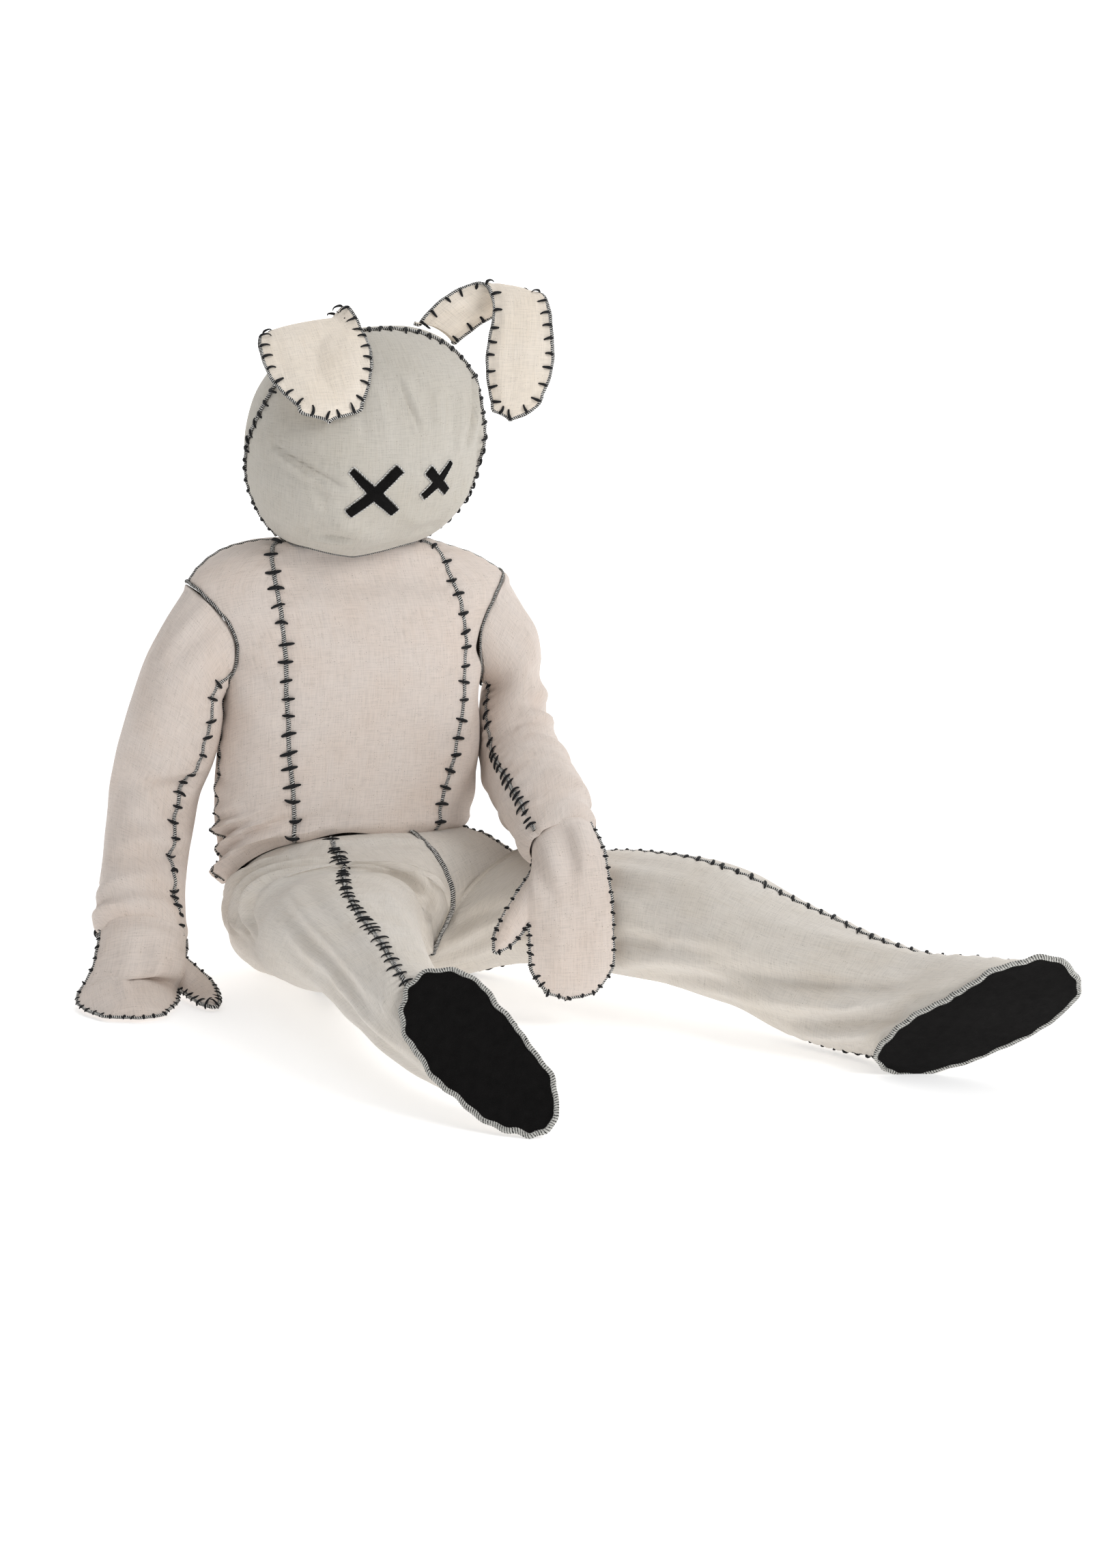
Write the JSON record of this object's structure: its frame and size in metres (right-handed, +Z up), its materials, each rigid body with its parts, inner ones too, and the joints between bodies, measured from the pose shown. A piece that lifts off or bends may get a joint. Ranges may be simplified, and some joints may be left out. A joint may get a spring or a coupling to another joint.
{
  "type": "bunny costume",
  "caption": "Sewn cloth rag-bunny costume in a seated worn pose: a round head mask with long ears and cross eyes, and a one-piece suit with mitts and felt soles.",
  "frame": {"origin": "middle of the suit's neck opening, 0.640 m above the floor that the seat rests on", "axes": "+Z up; -Y the way the torso faces; +X to the wearer's left, where the longer stretched leg reaches"},
  "size_m": [1.1673, 1.0729, 1.0178],
  "materials": {
    "muslin_pink_beige": "plain-woven cotton muslin with dark flecks",
    "muslin_grey_cream": "plain-woven cotton muslin with dark flecks",
    "muslin_grey_beige": "plain-woven cotton muslin with dark flecks",
    "muslin_cream": "plain-woven cotton muslin",
    "black_felt": "matt felt",
    "black_thread": "twisted yarn and serger thread"
  },
  "bodies": {
    "root": {"back": "muslin_pink_beige", "ear_far_back": "muslin_cream", "ear_far_front": "muslin_cream", "ear_near_back": "muslin_cream", "ear_near_front": "muslin_cream", "eye_far": "black_felt", "eye_near": "black_felt", "front_centre": "muslin_pink_beige", "front_side_far": "muslin_pink_beige", "front_side_near": "muslin_pink_beige", "head_back": "muslin_grey_beige", "head_face": "muslin_grey_beige", "leg_far_inner": "muslin_grey_cream", "leg_far_outer": "muslin_grey_cream", "leg_near_inner": "muslin_grey_cream", "leg_near_outer": "muslin_grey_cream", "mitt_far_back": "muslin_pink_beige", "mitt_far_palm": "muslin_pink_beige", "mitt_near_back": "muslin_pink_beige", "mitt_near_palm": "muslin_pink_beige", "sleeve_far_back": "muslin_pink_beige", "sleeve_far_front": "muslin_pink_beige", "sleeve_near_back": "muslin_pink_beige", "sleeve_near_front": "muslin_pink_beige", "sole_far": "black_felt", "sole_near": "black_felt", "waist_tape": "black_thread"}
  },
  "joints": []
}
